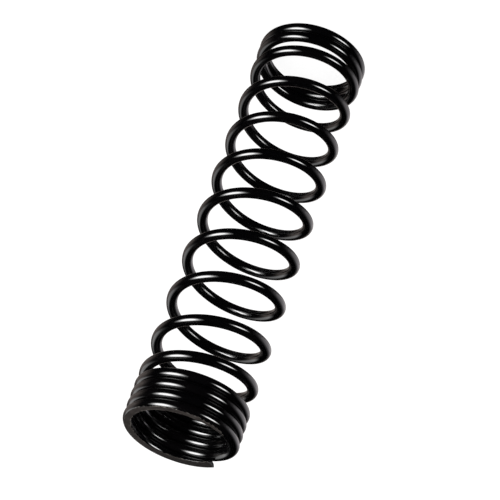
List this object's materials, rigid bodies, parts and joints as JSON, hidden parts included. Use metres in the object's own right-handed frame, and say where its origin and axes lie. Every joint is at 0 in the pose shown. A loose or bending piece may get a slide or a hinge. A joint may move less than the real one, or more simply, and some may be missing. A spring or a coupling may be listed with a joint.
{
  "type": "coil spring",
  "caption": "Helical compression spring of round steel wire, black gloss paint, closed and flat ground ends, close-wound turns at the upper end, open working coils between.",
  "frame": {"origin": "centre of the lower end's ground face, where the coil axis meets the surface the spring stands on", "axes": "+Z along the coil axis from the lower end to the upper end, which has more closed turns; +X from the axis through the wire tip of the upper end"},
  "size_m": [0.063, 0.063, 0.2574],
  "materials": {
    "black_paint": "gloss black paint over steel wire",
    "ground_and_painted_wire": "gloss black paint over steel wire, satin dark film on the ground face"
  },
  "bodies": {
    "lower_end": {"lower_end_turn": "ground_and_painted_wire", "lower_closed_turn": "black_paint", "lower_transition_turn": "black_paint"},
    "coil_1": {"coil_1": "black_paint"},
    "coil_2": {"coil_2": "black_paint"},
    "coil_3": {"coil_3": "black_paint"},
    "coil_4": {"coil_4": "black_paint"},
    "coil_5": {"coil_5": "black_paint"},
    "coil_6": {"coil_6": "black_paint"},
    "coil_7": {"coil_7": "black_paint"},
    "upper_end": {"upper_transition_turn": "black_paint", "upper_closed_turn_1": "black_paint", "upper_closed_turn_2": "black_paint", "upper_closed_turn_3": "black_paint", "upper_end_turn": "ground_and_painted_wire"}
  },
  "joints": [
    {"name": "compression", "type": "slide", "parent": "lower_end", "child": "upper_end", "axis": [0, 0, 1], "range_m": [-0.14, 0], "stiffness_N_per_m": 8100},
    {"name": "coil_1_slide", "type": "slide", "parent": "lower_end", "child": "coil_1", "axis": [0, 0, 1], "range_m": [-0.0109, 0]},
    {"name": "coil_2_slide", "type": "slide", "parent": "lower_end", "child": "coil_2", "axis": [0, 0, 1], "range_m": [-0.0295, 0]},
    {"name": "coil_3_slide", "type": "slide", "parent": "lower_end", "child": "coil_3", "axis": [0, 0, 1], "range_m": [-0.0489, 0]},
    {"name": "coil_4_slide", "type": "slide", "parent": "lower_end", "child": "coil_4", "axis": [0, 0, 1], "range_m": [-0.069, 0]},
    {"name": "coil_5_slide", "type": "slide", "parent": "lower_end", "child": "coil_5", "axis": [0, 0, 1], "range_m": [-0.0897, 0]},
    {"name": "coil_6_slide", "type": "slide", "parent": "lower_end", "child": "coil_6", "axis": [0, 0, 1], "range_m": [-0.1109, 0]},
    {"name": "coil_7_slide", "type": "slide", "parent": "lower_end", "child": "coil_7", "axis": [0, 0, 1], "range_m": [-0.1295, 0]}
  ],
  "couplings": [
    {"joint": "coil_1_slide", "follows": "compression", "ratio": 0.0761},
    {"joint": "coil_2_slide", "follows": "compression", "ratio": 0.2096},
    {"joint": "coil_3_slide", "follows": "compression", "ratio": 0.3482},
    {"joint": "coil_4_slide", "follows": "compression", "ratio": 0.4914},
    {"joint": "coil_5_slide", "follows": "compression", "ratio": 0.6393},
    {"joint": "coil_6_slide", "follows": "compression", "ratio": 0.7907},
    {"joint": "coil_7_slide", "follows": "compression", "ratio": 0.9239}
  ]
}
